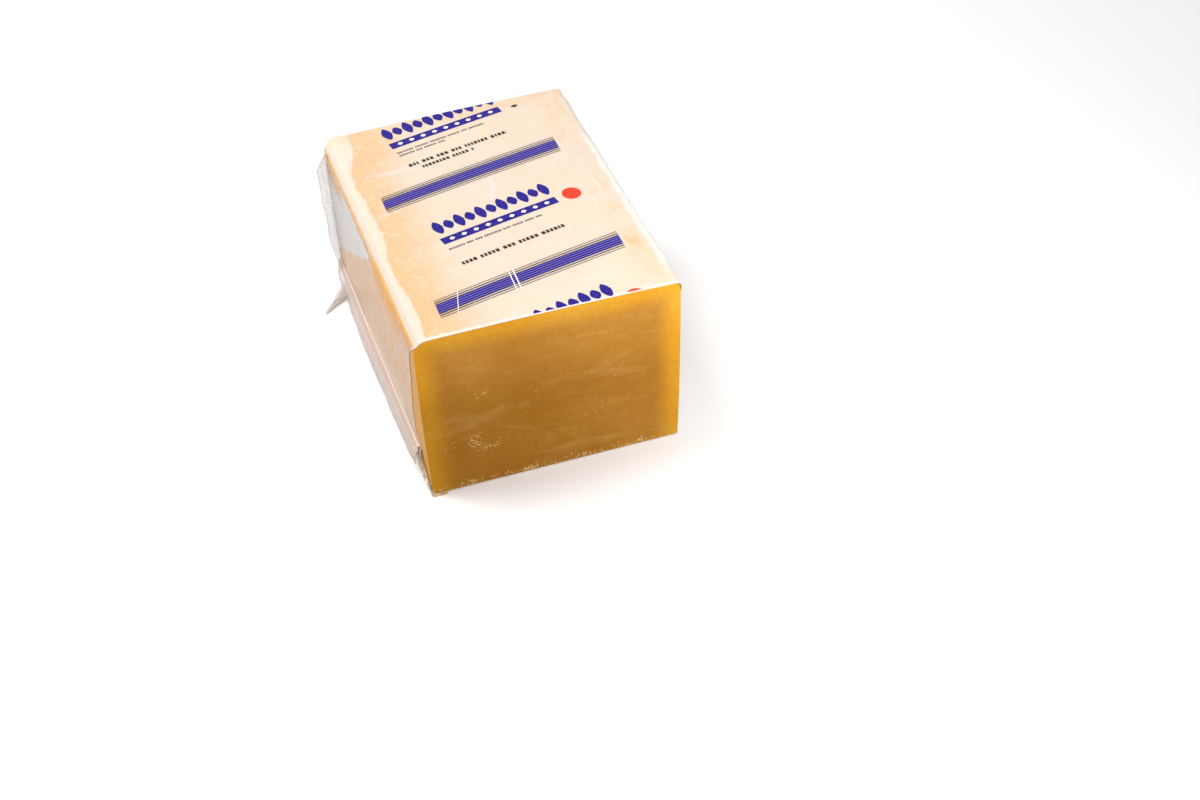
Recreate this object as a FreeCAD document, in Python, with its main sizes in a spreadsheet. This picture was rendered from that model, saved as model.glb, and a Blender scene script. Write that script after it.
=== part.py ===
"""A cut block of gruyere in the clear vacuum pouch that it was sold in.

The block was sawn from a wheel: a flat bottom and top, sides that lean out a little, rounded
long edges, and a front face left by a knife. The pouch clings to it on every side but the cut
one. Its sealed flange hangs round three sides, a pleat stands at each back corner, and the
flange's corners lie flat as ears.

Frame: the origin is at the centre of the underside of the whole, +Z is up, the cut face looks
along -Y, and the block's length runs along Y. Millimetres and degrees throughout.

While it is built, the block stands on the plane z = 0 with its length centred on y = 0. The
finished pieces are then placed together in the frame above.
"""
import FreeCAD, Part
import math
import os

import Sketcher
from FreeCAD import Placement, Rotation, Vector

# ---------------------------------------------------------------- sizes

SIZES = {
    # the cheese
    "block_width": 136.0,         # across the bottom
    "block_length": 195.0,        # along the bottom, from the cut face to the back
    "block_height": 100.0,
    "side_lean": 2.4,             # how far each side leans out from bottom to top
    "top_crown": 0.8,             # how far the top swells at its middle
    "side_swell": 0.6,            # how far each side swells at its middle
    "left_round": 7.0,            # top edge on the left, where the wheel's rim was
    "right_round": 2.8,           # top edge on the right
    "foot_round": 2.6,            # both long edges at the bottom
    "back_round": 2.0,            # all round the back, less than the rounds beside it
    "cut_setback": 3.0,           # the knife leaned: the top of the cut stands this far back
    # the pouch
    "film_gap": 0.1,              # clearance between the cheese and the film
    "film_wall": 0.2,
    "film_overhang": 0.6,         # how far the film's cut rim stands past the cut face
    # the flange, two layers of film sealed together
    "flange_height": 17.0,        # where it leaves the sides
    "flange_reach": 5.0,          # how far it stands out
    "flange_drop": 11.0,          # how far it hangs down
    "flange_wave": 0.9,           # how far its edge wavers, in and out
    "flange_thickness": 0.5,
    # the pleats of gathered film at the back corners
    "pleat_foot_inset": 9.0,      # from their lower end down to the underside
    "pleat_top_inset": 6.0,       # from their upper end up to the block's height
    "pleat_reach": 7.0,           # how far the left one stands out
    "right_pleat_reach": 5.0,
    "pleat_thickness": 0.6,
    "pleat_inset": 7.0,           # from the back of the block
    # the ears, the flange's corners folded flat
    "ear_reach": 18.8,            # how far the tip lies from the foot of the side
    "ear_tip_width": 1.6,
    "left_ear_inset": 26.0,       # of the left tip, from the back of the block
    "right_ear_inset": 15.0,
    "ear_root_near": 1.5,         # of the root's two corners, from the back
    "ear_root_far": 13.0,
    "ear_thickness": 0.5,
}

CUT_SPARE = 8                     # blanks run this far past the cut before the knife trims them
ROOT_DEPTH = 2                    # flange and pleats start this far inside the side
SIDE_STATIONS = 11                # sections of the flange along each side
BACK_STATIONS = 5                 # and along the back, an odd number, so one is in the middle
WAVES = 2.5                       # of the flange's edge, along a side
SHOULDER_SHARE = 0.75             # the flange bends down at this share of its reach
SHOULDER_FALL = 1.5               # its root lies this far above flange_height, its bend below
DIAGONAL = 0.7                    # a layer's thickness measured across and up at the bend
LEAST_REACH = 0.6                 # the flange's reach at its ends, as a share of its fullest
KNIFE_REACH = 20                  # how far the cut's plane runs above and below the block
NEAR = 0.01                       # how far a point may be from a place and count as there

doc = FreeCAD.newDocument("gruyere_block")
sheet = doc.addObject("Spreadsheet::Sheet", "sizes")
for row, (alias, value) in enumerate(SIZES.items(), start=1):
    sheet.set(f"A{row}", alias)
    sheet.set(f"B{row}", str(value))
    sheet.setAlias(f"B{row}", alias)
doc.recompute()


def cell(name):
    """The sheet's cell as it is written in an expression."""
    return f"<<sizes>>.{name}"


def value_of(expression):
    """What an expression made of cells and numbers comes to."""
    return float(sheet.evalExpression(expression))


HALF_WIDTH = f"{cell('block_width')} / 2"
HALF_LENGTH = f"{cell('block_length')} / 2"
SKIN = f"({cell('film_gap')} + {cell('film_wall')})"

# ---------------------------------------------------------------- sketches


def origin_plane(body, role):
    return next(item for item in body.Origin.OriginFeatures if item.Role == role)


def new_sketch(body, name, role, offsets=None, turn=None):
    """A sketch on one of the body's own origin planes, moved by expressions along its axes."""
    sketch = body.newObject("Sketcher::SketchObject", name)
    sketch.AttachmentSupport = (origin_plane(body, role), [""])
    sketch.MapMode = "FlatFace"
    if turn is not None:
        sketch.AttachmentOffset = Placement(Vector(), turn)
    for axis, expression in (offsets or {}).items():
        sketch.setExpression(f"AttachmentOffset.Base.{axis}", expression)
    return sketch


def pin(sketch, geometry, point, kind, expression):
    """Fix one coordinate of a point, measured from the sketch's origin."""
    distance = value_of(expression)
    if distance >= 0:
        ends, text = (-1, 1, geometry, point), expression
    else:
        ends, text = (geometry, point, -1, 1), f"-({expression})"
    index = sketch.addConstraint(Sketcher.Constraint(kind, *ends, abs(distance)))
    sketch.setExpression(f"Constraints[{index}]", text)


def swelling_arc(start, end, swell):
    """The arc from start to end, anticlockwise, that swells by this much at its middle."""
    chord = end - start
    radius = (chord.Length ** 2 / 4 + swell ** 2) / (2 * swell)
    inward = Vector(-chord.y, chord.x, 0).normalize()
    centre = (start + end) / 2 + inward * (radius - swell)
    first = math.atan2(start.y - centre.y, start.x - centre.x)
    last = math.atan2(end.y - centre.y, end.x - centre.x)
    circle = Part.Circle(centre, Vector(0, 0, 1), radius)
    return Part.ArcOfCircle(circle, first, last if last > first else last + 2 * math.pi)


def draw_outline(sketch, corners, swells=None):
    """A closed outline through corners given anticlockwise as pairs of expressions.

    swells gives, for a side by its number, the expression of how far it swells outward.
    """
    swells = swells or {}
    points = [Vector(value_of(across), value_of(up), 0) for across, up in corners]
    count = len(corners)
    for side in range(count):
        start, end = points[side], points[(side + 1) % count]
        if side in swells:
            sketch.addGeometry(swelling_arc(start, end, value_of(swells[side])))
        else:
            sketch.addGeometry(Part.LineSegment(start, end))
    for side in range(count):
        following = (side + 1) % count
        sketch.addConstraint(Sketcher.Constraint("Coincident", side, 2, following, 1))
    for side, (across, up) in enumerate(corners):
        pin(sketch, side, 1, "DistanceX", across)
        pin(sketch, side, 1, "DistanceY", up)
    for side, swell in swells.items():
        (x1, y1), (x2, y2) = corners[side], corners[(side + 1) % count]
        chord_squared = f"(({x2} - ({x1})) ^ 2 + ({y2} - ({y1})) ^ 2)"
        radius = f"({chord_squared} / 4 + ({swell}) ^ 2) / (2 * ({swell}))"
        arc = sketch.Geometry[side]
        index = sketch.addConstraint(Sketcher.Constraint("Radius", side, arc.Radius))
        sketch.setExpression(f"Constraints[{index}]", radius)


# ---------------------------------------------------------------- features


def add_pad(body, name, sketch, length, both_ways=False):
    pad = body.newObject("PartDesign::Pad", name)
    pad.Profile = sketch
    pad.setExpression("Length", length)
    pad.Midplane = both_ways
    doc.recompute()


def add_fillet(body, name, radius, is_wanted):
    """Round the edges whose two ends both pass the test."""
    base = body.Tip
    names = []
    for number, edge in enumerate(base.Shape.Edges, start=1):
        if not edge.Degenerated and all(is_wanted(vertex.Point) for vertex in edge.Vertexes):
            names.append(f"Edge{number}")
    if not names:
        raise RuntimeError(f"{name}: no edge to round")
    fillet = body.newObject("PartDesign::Fillet", name)
    fillet.Base = (base, names)
    fillet.setExpression("Radius", radius)
    doc.recompute()


def add_block(body, name, offset):
    """The block's form grown by offset: a prism along Y, with its edges rounded.

    It runs CUT_SPARE past the cut face, for the knife to trim.
    """
    foot = f"{HALF_WIDTH} + {offset}"
    top = f"{HALF_WIDTH} + {cell('side_lean')} + {offset}"
    low = f"-1 * {offset}"
    high = f"{cell('block_height')} + {offset}"
    back = f"{HALF_LENGTH} + {offset}"
    sketch = new_sketch(body, f"{name}_profile", "XZ_Plane", {"z": f"-({back})"})
    corners = [(f"-({foot})", low), (foot, low), (top, high), (f"-({top})", high)]
    swells = {1: cell("side_swell"), 2: cell("top_crown"), 3: cell("side_swell")}
    draw_outline(sketch, corners, swells)
    doc.recompute()
    add_pad(body, f"{name}_prism", sketch, f"{cell('block_length')} + {offset} + {CUT_SPARE}")

    def at(across, up):
        """A test for the long edge that ends at this place in the profile."""
        x, z = value_of(across), value_of(up)
        return lambda point: abs(point.x - x) < NEAR and abs(point.z - z) < NEAR

    back_y = value_of(back)
    add_fillet(body, f"{name}_left_edge", f"{cell('left_round')} + {offset}", at(f"-({top})", high))
    add_fillet(body, f"{name}_right_edge", f"{cell('right_round')} + {offset}", at(top, high))
    add_fillet(body, f"{name}_left_foot", f"{cell('foot_round')} + {offset}", at(f"-({foot})", low))
    add_fillet(body, f"{name}_right_foot", f"{cell('foot_round')} + {offset}", at(foot, low))
    add_fillet(body, f"{name}_back_edges", f"{cell('back_round')} + {offset}",
               lambda point: abs(point.y - back_y) < NEAR)


def cut_front(body, name, overhang):
    """Trim the front along the sloping cut, moved forward by overhang."""
    low = f"-{KNIFE_REACH}"
    high = f"{cell('block_height')} + {KNIFE_REACH}"
    slope = f"{cell('cut_setback')} / {cell('block_height')}"
    front = f"-({HALF_LENGTH} + {overhang})"
    plane_low = f"{front} + {slope} * ({low})"
    plane_high = f"{front} + {slope} * ({high})"
    beyond = f"{front} - 4 * {CUT_SPARE}"
    sketch = new_sketch(body, f"{name}_line", "YZ_Plane")
    draw_outline(sketch, [(beyond, low), (plane_low, low), (plane_high, high), (beyond, high)])
    doc.recompute()
    before = body.Tip.Shape.Volume
    pocket = body.newObject("PartDesign::Pocket", f"{name}_cut")
    pocket.Profile = sketch
    pocket.setExpression("Length", f"2 * {cell('block_width')}")
    pocket.Midplane = True
    doc.recompute()
    if not pocket.Shape.Volume < before:
        raise RuntimeError(f"{name}: the knife cut nothing")


# ---------------------------------------------------------------- cheese

cheese = doc.addObject("PartDesign::Body", "cheese_body")
cheese.Label = "cheese"
add_block(cheese, "block", "0")
cut_front(cheese, "knife", "0")

# ---------------------------------------------------------------- pouch


def flange_section(body, name, heading, x, y, reach):
    """A bent strip in the upright plane through (x, y) that faces along the heading.

    It leaves the side at flange_height, bends over a shoulder and hangs to its tip.
    """
    offsets = {"x": x, "z": f"-({y})"}
    sketch = new_sketch(body, name, "XZ_Plane", offsets, Rotation(Vector(0, 1, 0), heading))
    layer = cell("flange_thickness")
    height = cell("flange_height")
    root = f"{height} + {SHOULDER_FALL}"
    shoulder_out = f"{SHOULDER_SHARE} * ({reach})"
    shoulder_up = f"{height} - {SHOULDER_FALL}"
    tip = f"{height} - {cell('flange_drop')}"
    draw_outline(sketch, [
        (f"-{ROOT_DEPTH}", root),
        (shoulder_out, shoulder_up),
        (reach, tip),
        (f"{reach} + {layer}", tip),
        (f"{shoulder_out} + {DIAGONAL} * {layer}", f"{shoulder_up} + {DIAGONAL} * {layer}"),
        (f"-{ROOT_DEPTH}", f"{root} + {layer}"),
    ])
    return sketch


def flange_stations():
    """Places of the flange's sections on its three stretches: heading, x, y and reach.

    Each stretch stops short of the corners, where the film is folded down into the ears. The
    reach is fullest halfway along and least at the ends, and on the two long sides it wavers.
    """
    inset = f"2 * {cell('back_round')}"
    side_run = f"({cell('block_length')} + {CUT_SPARE} - {inset})"
    back_run = f"({cell('block_width')} - 2 * {inset})"

    def reach(share, waver=0.0):
        fullness = LEAST_REACH + (1 - LEAST_REACH) * math.sin(math.pi * share)
        return f"{fullness:.4f} * {cell('flange_reach')} + {waver:.4f} * {cell('flange_wave')}"

    left, right, back = [], [], []
    for step in range(SIDE_STATIONS):
        share = step / (SIDE_STATIONS - 1)
        waver = math.sin(2 * math.pi * WAVES * share) * math.sin(math.pi * share)
        y = f"{HALF_LENGTH} - {inset} - {side_run} * {share:.4f}"
        left.append((180.0, f"-({HALF_WIDTH})", y, reach(share, waver)))
        right.append((0.0, HALF_WIDTH, y, reach(share, -waver)))
    for step in range(BACK_STATIONS):
        share = step / (BACK_STATIONS - 1)
        back.append((90.0, f"{back_run} * {share - 0.5:.4f}", HALF_LENGTH, reach(share)))
    return {"left": left, "back": back, "right": right}


def add_flange(body):
    """The sealed flange round three sides, a loft for each stretch."""
    for stretch, stations in flange_stations().items():
        sections = []
        for number, station in enumerate(stations, start=1):
            sections.append(flange_section(body, f"{stretch}_flange_{number}", *station))
        doc.recompute()
        loft = body.newObject("PartDesign::AdditiveLoft", f"{stretch}_flange")
        loft.Profile = sections[0]
        loft.Sections = sections[1:]
        doc.recompute()


def add_pleat(body, side, reach):
    """A crescent of gathered film that stands out from a side near its back corner."""
    name = "left_pleat" if side < 0 else "right_pleat"
    y = f"{HALF_LENGTH} - {cell('pleat_inset')}"
    sketch = new_sketch(body, f"{name}_outline", "XZ_Plane", {"z": f"-({y})"})
    root = f"{side} * ({HALF_WIDTH} - {ROOT_DEPTH})"
    bottom = (root, cell("pleat_foot_inset"))
    top = (root, f"{cell('block_height')} - {cell('pleat_top_inset')}")
    swell = f"{cell(reach)} + {ROOT_DEPTH}"
    if side < 0:
        draw_outline(sketch, [bottom, top], {1: swell})
    else:
        draw_outline(sketch, [bottom, top], {0: swell})
    doc.recompute()
    add_pad(body, name, sketch, cell("pleat_thickness"), both_ways=True)


def add_ear(body, side, inset):
    """A flat pointed flap that lies on the ground beside a back corner."""
    name = "left_ear" if side < 0 else "right_ear"
    sketch = new_sketch(body, f"{name}_outline", "XY_Plane", {"z": f"-{SKIN}"})
    root = f"{side} * ({HALF_WIDTH} - {cell('foot_round')} - {ROOT_DEPTH})"
    tip = f"{side} * ({HALF_WIDTH} + {cell('ear_reach')})"
    middle = f"{HALF_LENGTH} - {cell(inset)}"
    corners = [
        (tip, f"{middle} - {cell('ear_tip_width')} / 2"),
        (root, f"{HALF_LENGTH} - {cell('ear_root_far')}"),
        (root, f"{HALF_LENGTH} - {cell('ear_root_near')}"),
        (tip, f"{middle} + {cell('ear_tip_width')} / 2"),
    ]
    draw_outline(sketch, corners if side < 0 else corners[::-1])
    doc.recompute()
    add_pad(body, name, sketch, cell("ear_thickness"))


pouch = doc.addObject("PartDesign::Body", "pouch_blank")
add_block(pouch, "outside", SKIN)
add_flange(pouch)
add_pleat(pouch, -1, "pleat_reach")
add_pleat(pouch, 1, "right_pleat_reach")
add_ear(pouch, -1, "left_ear_inset")
add_ear(pouch, 1, "right_ear_inset")
cut_front(pouch, "rim", cell("film_overhang"))

hollow = doc.addObject("PartDesign::Body", "pouch_hollow")
add_block(hollow, "inside", cell("film_gap"))

film = doc.addObject("Part::Cut", "film_cut")
film.Label = "film"
film.Base = pouch
film.Tool = hollow
doc.recompute()

# ---------------------------------------------------------------- placing, checks and export

BACK_REACH = f"({cell('flange_reach')} + {cell('flange_thickness')})"
for piece in (cheese, film):
    piece.setExpression("Placement.Base.y", f"({cell('film_overhang')} - {BACK_REACH}) / 2")
    piece.setExpression("Placement.Base.z", SKIN)
doc.recompute()

for item in doc.Objects:
    if "Invalid" in item.State or "Error" in item.State:
        raise RuntimeError(f"{item.Label}: {item.State}")

os.makedirs("parts", exist_ok=True)
for piece in (cheese, film):
    shape = piece.Shape
    if shape.isNull() or not shape.isValid() or len(shape.Solids) != 1:
        raise RuntimeError(f"{piece.Label}: not one valid solid")
    shape.exportStep(f"parts/{piece.Label}.step")
    box = shape.optimalBoundingBox()
    print(f"{piece.Label}: {shape.Volume / 1000:.1f} cm3, x {box.XMin:.2f} to {box.XMax:.2f},"
          f" y {box.YMin:.2f} to {box.YMax:.2f}, z {box.ZMin:.2f} to {box.ZMax:.2f}")
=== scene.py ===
"""Looks of a block of gruyere in its opened vacuum pouch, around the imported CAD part.

Lengths are in millimetres until make_piece turns them into metres. The block's own places count
x from its middle, y from its front foot to its back and z from its underside.
"""
import math
import random

import bpy
import numpy as np
from mathutils import Matrix, Vector, noise
from mathutils.bvhtree import BVHTree


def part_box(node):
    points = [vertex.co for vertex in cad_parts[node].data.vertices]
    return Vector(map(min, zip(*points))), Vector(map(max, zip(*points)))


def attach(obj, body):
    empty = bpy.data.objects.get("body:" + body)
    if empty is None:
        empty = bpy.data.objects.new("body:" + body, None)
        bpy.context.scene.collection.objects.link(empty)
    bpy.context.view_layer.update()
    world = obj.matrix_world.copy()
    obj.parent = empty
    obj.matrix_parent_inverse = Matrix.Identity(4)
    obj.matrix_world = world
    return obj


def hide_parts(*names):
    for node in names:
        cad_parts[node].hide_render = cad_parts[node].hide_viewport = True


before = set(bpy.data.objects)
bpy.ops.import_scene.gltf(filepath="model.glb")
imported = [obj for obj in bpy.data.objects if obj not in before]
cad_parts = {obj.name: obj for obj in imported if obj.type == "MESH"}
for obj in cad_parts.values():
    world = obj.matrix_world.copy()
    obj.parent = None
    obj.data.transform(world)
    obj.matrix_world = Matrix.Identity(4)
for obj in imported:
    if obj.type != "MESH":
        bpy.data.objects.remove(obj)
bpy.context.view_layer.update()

MM = 0.001
dice = random.Random(1115)

# ------------------------------ sizes

block_low, block_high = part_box("cheese")
FOOT_Y = block_low.y / MM  # the front foot of the cut face
FLOOR_Z = block_low.z / MM  # the underside of the cheese
CROWN = 0.8  # how far the top swells at its middle
LEAN, SWELL = 2.4, 0.6  # how far each side leans out, and swells
HALF = block_high.x / MM - LEAN  # half the width at the foot
LENGTH = (block_high.y - block_low.y) / MM
HEIGHT = (block_high.z - block_low.z) / MM - CROWN
SETBACK = 3.0  # how far the cut leans back at the top
SKEW = 2.0  # the back runs askew, further back on the right
LEFT_ROUND, RIGHT_ROUND, FOOT_ROUND, BACK_ROUND = 7.0, 2.6, 1.6, 1.4
FILM_GROW = 0.3  # the film's outside from the cheese
RIM_OVERHANG = 0.6  # how far the film's rim stands past the cut
PRINT_TILT = math.radians(12.3)
PRINT_SHIFT = -1.0  # of the whole print along the block


def linear(code):
    """A colour written as rrggbb, in linear light."""
    parts = [int(code[k:k + 2], 16) / 255 for k in (0, 2, 4)]
    return [p / 12.92 if p <= 0.04045 else ((p + 0.055) / 1.055) ** 2.4 for p in parts]


# ------------------------------ mesh helpers

def spread(low, high, low_zone, high_zone, fine, coarse):
    """Places from low to high, fine within a zone at each end and coarse between."""
    def run(start, end, step):
        return np.linspace(start, end, max(2, int(round((end - start) / step)) + 1))
    runs = [run(low, low + low_zone, fine), run(low + low_zone, high - high_zone, coarse),
            run(high - high_zone, high, fine)]
    return np.unique(np.concatenate(runs).round(5))


def box_grid(xs, ys, zs, sides):
    """Points and quads of the chosen sides of a box, joined along shared edges."""
    plan = {"left": (0, 0, 1, 2, True), "right": (0, -1, 1, 2, False),
            "front": (1, 0, 2, 0, True), "back": (1, -1, 2, 0, False),
            "bottom": (2, 0, 0, 1, True), "top": (2, -1, 0, 1, False)}
    axes = (xs, ys, zs)
    all_points, all_quads, base = [], [], 0
    for side in sides:
        fixed, end, first, second, flip = plan[side]
        a, b = axes[first], axes[second]
        grid = np.zeros((len(a), len(b), 3))
        grid[..., fixed] = axes[fixed][end]
        grid[..., first] = a[:, None]
        grid[..., second] = b[None, :]
        index = np.arange(len(a) * len(b)).reshape(len(a), len(b)) + base
        quads = np.stack([index[:-1, :-1], index[1:, :-1], index[1:, 1:], index[:-1, 1:]], -1)
        quads = quads.reshape(-1, 4)
        all_quads.append(quads[:, ::-1] if flip else quads)
        all_points.append(grid.reshape(-1, 3))
        base += grid.shape[0] * grid.shape[1]
    points, quads = np.concatenate(all_points), np.concatenate(all_quads)
    unique, back = np.unique(points.round(4), axis=0, return_inverse=True)
    return unique, back.reshape(-1)[quads]


def sheet_faces(rows, columns, base=0):
    """Quads over rows of points, counted from base, with so many points in each row."""
    return [[base + a * columns + b, base + a * columns + b + 1,
             base + (a + 1) * columns + b + 1, base + (a + 1) * columns + b]
            for a in range(rows - 1) for b in range(columns - 1)]


def shape_block(points, grow):
    """Bend places on a plain box, grown by grow all round, to the block's rounded form."""
    x, y, z = points.T.copy()
    half, top, bottom, back = HALF + grow, HEIGHT + grow, -grow, LENGTH + grow
    gaps = np.stack([x + half, half - x, z - bottom, top - z])
    nearest = gaps.argmin(0)
    depth = gaps.min(0)
    inward = np.array([(1, 0), (-1, 0), (0, 1), (0, -1)], float)[nearest]
    for side, up, radius in ((-1, 1, LEFT_ROUND), (1, 1, RIGHT_ROUND),
                             (-1, -1, FOOT_ROUND), (1, -1, FOOT_ROUND)):
        r = radius + grow
        cx = side * (half - r)
        cz = top - r if up > 0 else bottom + r
        u, v = (x - cx) * side, (z - cz) * up
        inside = (u > 0) & (v > 0)
        far = np.hypot(u, v)[inside]
        most = np.maximum(u, v)[inside]
        du, dv = u[inside] / far, v[inside] / far
        x[inside] = cx + side * du * most
        z[inside] = cz + up * dv * most
        depth[inside] = r - most
        inward[inside] = np.stack([-side * du, -up * dv], -1)
    r = BACK_ROUND + grow
    p, q = r - depth, y - (back - r)
    inside = (p > 0) & (q > 0)
    far = np.hypot(p, q)[inside]
    most = np.maximum(p, q)[inside]
    moved = r - p[inside] * most / far - depth[inside]
    y[inside] = back - r + q[inside] * most / far
    x[inside] += inward[inside][:, 0] * moved
    z[inside] += inward[inside][:, 1] * moved
    return warp(np.stack([x, y, z], -1))


def warp(points):
    """Lean and swell the sides, crown the top and slope the cut."""
    x, y, z = points.T
    share = z / HEIGHT
    wide = 1 + (LEAN * share + 4 * SWELL * share * (1 - share)) / HALF
    crown = CROWN * (1 - (x / HALF) ** 2) * np.clip(share, 0, 1)
    slope = SETBACK * share * (1 - y / LENGTH)
    askew = SKEW * np.clip(x / HALF, -1, 1) * y / LENGTH
    return np.stack([x * wide, y + slope + askew, z + crown], -1)


def to_frame(points):
    """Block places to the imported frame's millimetres."""
    return np.asarray(points, float) + np.array([0.0, FOOT_Y, FLOOR_Z])


def normals_of(points, quads):
    """Unit normals at the points of a quad mesh."""
    a, b, c, d = (points[quads[:, k]] for k in range(4))
    face = np.cross(c - a, d - b)
    out = np.zeros_like(points)
    for k in range(4):
        np.add.at(out, quads[:, k], face)
    return out / np.maximum(np.linalg.norm(out, axis=1, keepdims=True), 1e-9)


def waves(points, size, seed, octaves=3):
    """Soft noise from about -1 to 1 at each point, for lumps about size millimetres apart."""
    shift = Vector((seed * 13.7, seed * 5.1, seed * 9.3))
    return np.array([noise.fractal(Vector(p) / size + shift, 1.0, 2.0, octaves,
                                   noise_basis="PERLIN_ORIGINAL") for p in points])


def make_piece(name, points, faces, material, fields=None, thick=None, sharp=None,
               smooth=True):
    """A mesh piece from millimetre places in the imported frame, riding on the block."""
    mesh = bpy.data.meshes.new(name)
    mesh.from_pydata((np.asarray(points) * MM).tolist(), [], np.asarray(faces).tolist()
                     if not isinstance(faces, list) else faces)
    mesh.polygons.foreach_set("use_smooth", [smooth] * len(mesh.polygons))
    if sharp is not None:
        mesh.set_sharp_from_angle(angle=math.radians(sharp))
    for field, values in (fields or {}).items():
        layer = mesh.attributes.new(field, "FLOAT", "POINT")
        layer.data.foreach_set("value", np.asarray(values, dtype=np.float32))
    mesh.materials.append(material)
    piece = bpy.data.objects.new(name, mesh)
    bpy.context.scene.collection.objects.link(piece)
    if thick:
        shell = piece.modifiers.new("thickness", "SOLIDIFY")
        shell.thickness = thick * MM
        shell.offset = -1.0
    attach(piece, "root")
    return piece


def soft_step(value, low, high):
    """0 below low, 1 above high, smooth between."""
    t = np.clip((value - low) / (high - low), 0, 1)
    return t * t * (3 - 2 * t)


def bell(off, wide, power=2):
    """1 in the middle, falling to almost nothing by twice wide."""
    return np.exp(-(off / wide) ** power)


# ------------------------------ material helpers

def new_material(name):
    material = bpy.data.materials.new(name)
    material.use_nodes = True
    tree = material.node_tree
    tree.nodes.clear()
    output = tree.nodes.new("ShaderNodeOutputMaterial")
    return material, tree, output


def plug(tree, socket, value):
    """Sets a socket to a constant, or links it to another node's output."""
    if isinstance(value, bpy.types.NodeSocket):
        tree.links.new(value, socket)
    elif socket.type == "RGBA":
        socket.default_value = (*value, 1.0)
    else:
        socket.default_value = value


def node(tree, kind, **sockets):
    """A node with sockets set, each by its name with _ for spaces, or as _0, _1 by number."""
    made = tree.nodes.new(kind)
    for key, value in sockets.items():
        plug(tree, made.inputs[int(key[1:]) if key[0] == "_" else key.replace("_", " ")], value)
    return made


def math_node(tree, operation, *values):
    made = tree.nodes.new("ShaderNodeMath")
    made.operation = operation
    for socket, value in zip(made.inputs, values):
        plug(tree, socket, value)
    return made.outputs[0]


def ramp(tree, factor, stops):
    made = tree.nodes.new("ShaderNodeValToRGB")
    tree.links.new(factor, made.inputs["Fac"])
    elements = made.color_ramp.elements
    while len(elements) < len(stops):
        elements.new(0.5)
    for element, (place, colour) in zip(elements, stops):
        element.position = place
        element.color = (*colour, 1.0)
    return made.outputs["Color"]


def mix_colour(tree, factor, a, b, blend="MIX"):
    made = tree.nodes.new("ShaderNodeMix")
    made.data_type = "RGBA"
    made.blend_type = blend
    colours = [socket for socket in made.inputs if socket.type == "RGBA"]
    for socket, value in zip((made.inputs[0], *colours), (factor, a, b)):
        plug(tree, socket, value)
    return next(socket for socket in made.outputs if socket.type == "RGBA")


def attribute(tree, name):
    made = tree.nodes.new("ShaderNodeAttribute")
    made.attribute_name = name
    return made.outputs["Fac"]


def object_place(tree, scale=(1, 1, 1), turn=(0, 0, 0)):
    """Places on the object in metres, scaled and turned."""
    coords = tree.nodes.new("ShaderNodeTexCoord")
    return node(tree, "ShaderNodeMapping", Vector=coords.outputs["Object"], Scale=scale,
                Rotation=turn).outputs["Vector"]


def noise_value(tree, place, scale, detail, roughness, distortion=0.0):
    """Noise from 0 to 1, with about scale lumps a metre."""
    made = node(tree, "ShaderNodeTexNoise", Vector=place, Scale=scale, Detail=detail,
                Roughness=roughness, Distortion=distortion)
    return made.outputs["Fac"]


def bump(tree, height, distance, strength, base=None):
    """A relief distance metres high, over the relief base if there is one."""
    made = node(tree, "ShaderNodeBump", Height=height, Distance=distance, Strength=strength)
    if base is not None:
        plug(tree, made.inputs["Normal"], base)
    return made.outputs["Normal"]


def principled(tree, colour, roughness, specular, **more):
    return node(tree, "ShaderNodeBsdfPrincipled", Base_Color=colour, Roughness=roughness,
                Specular_IOR_Level=specular, **more).outputs[0]


def seen_directly(tree):
    """1 for rays from the camera or passed on by gloss or clear film, 0 for the rest."""
    path = tree.nodes.new("ShaderNodeLightPath").outputs
    seen = math_node(tree, "MAXIMUM", path["Is Camera Ray"], path["Is Glossy Ray"])
    return math_node(tree, "MAXIMUM", seen, path["Is Transmission Ray"])


# ------------------------------ materials

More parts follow.
